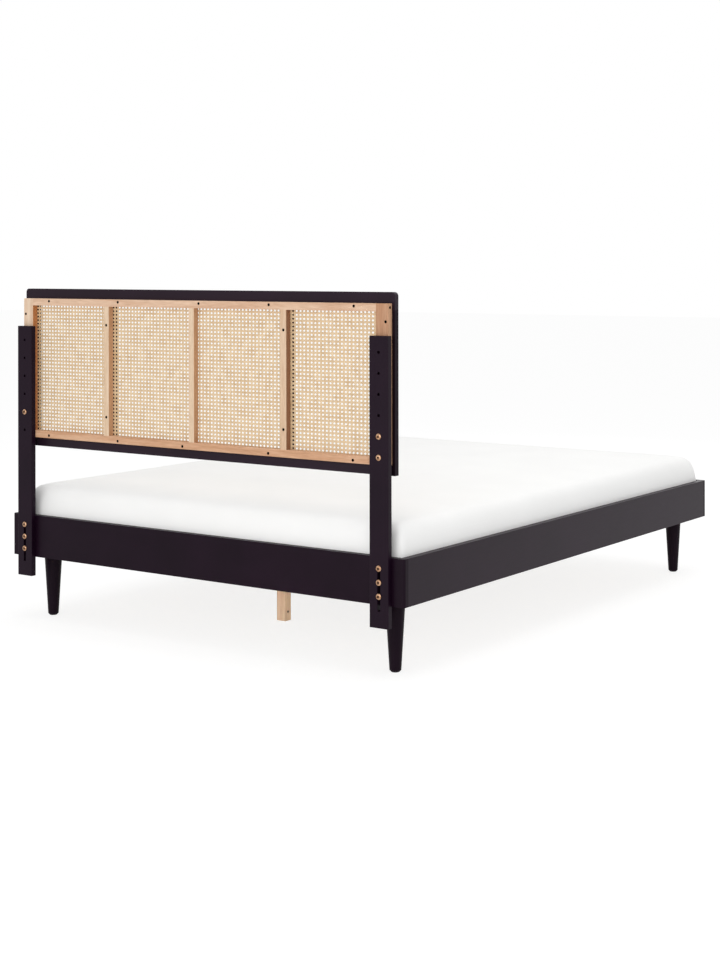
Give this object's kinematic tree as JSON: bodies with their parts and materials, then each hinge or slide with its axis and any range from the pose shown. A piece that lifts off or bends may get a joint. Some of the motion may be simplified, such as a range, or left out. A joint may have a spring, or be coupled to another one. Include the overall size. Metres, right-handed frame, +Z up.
{
  "type": "double bed",
  "caption": "Low platform double bed with turned legs and a caned, height-adjustable headboard on two flat posts",
  "frame": {"origin": "on the floor under the middle of the bed's bounding box", "axes": "+Y towards the head, +X to the right seen from the foot, +Z up"},
  "size_m": [1.588, 2.1176, 1.1045],
  "materials": {
    "painted_wood": "satin dark plum-brown paint",
    "natural_wood": "bare sanded hardwood",
    "cane": "woven cane, unvarnished",
    "brass_hardware": "yellow-plated steel look",
    "zinc_steel": "zinc plated",
    "dark_steel": "black oxide",
    "webbing": "woven tape",
    "mattress_fabric": "soft white knit cover"
  },
  "bodies": {
    "bed_frame": {"head_rail": "painted_wood", "foot_rail": "painted_wood", "side_rail_left": "painted_wood", "side_rail_right": "painted_wood", "corner_block_head_left": "natural_wood", "corner_block_head_right": "natural_wood", "corner_block_foot_left": "natural_wood", "corner_block_foot_right": "natural_wood", "leg_head_left": "painted_wood", "leg_head_right": "painted_wood", "leg_foot_left": "painted_wood", "leg_foot_right": "painted_wood", "leg_studs": "dark_steel", "slat_ledge_left": "natural_wood", "slat_ledge_right": "natural_wood", "centre_beam": "natural_wood", "beam_hanger_head": "zinc_steel", "beam_hanger_foot": "zinc_steel", "centre_leg_head": "natural_wood", "centre_leg_foot": "natural_wood", "slat_01": "natural_wood", "slat_02": "natural_wood", "slat_03": "natural_wood", "slat_04": "natural_wood", "slat_05": "natural_wood", "slat_06": "natural_wood", "slat_07": "natural_wood", "slat_08": "natural_wood", "slat_09": "natural_wood", "slat_10": "natural_wood", "slat_11": "natural_wood", "slat_12": "natural_wood", "slat_webbing": "webbing", "rail_bolts": "brass_hardware"},
    "headboard": {"post_left": "painted_wood", "post_right": "painted_wood", "front_top_rail": "painted_wood", "front_bottom_rail": "painted_wood", "front_stile_left": "painted_wood", "front_stile_right": "painted_wood", "front_mullion_left": "painted_wood", "front_mullion_right": "painted_wood", "backing_top_rail": "natural_wood", "backing_bottom_rail": "natural_wood", "backing_stile_left": "natural_wood", "backing_stile_right": "natural_wood", "backing_mullion_left": "natural_wood", "backing_mullion_centre": "natural_wood", "backing_mullion_right": "natural_wood", "cane_sheet": "cane", "panel_bolts": "brass_hardware"},
    "mattress_body": {"mattress": "mattress_fabric"}
  },
  "joints": [
    {"name": "headboard_height", "type": "slide", "parent": "bed_frame", "child": "headboard", "axis": [0, 0, 1], "range_m": [0, 0.038]},
    {"name": "mattress_lift", "type": "slide", "parent": "bed_frame", "child": "mattress_body", "axis": [0, 0, 1], "range_m": [0, 0.1]}
  ]
}
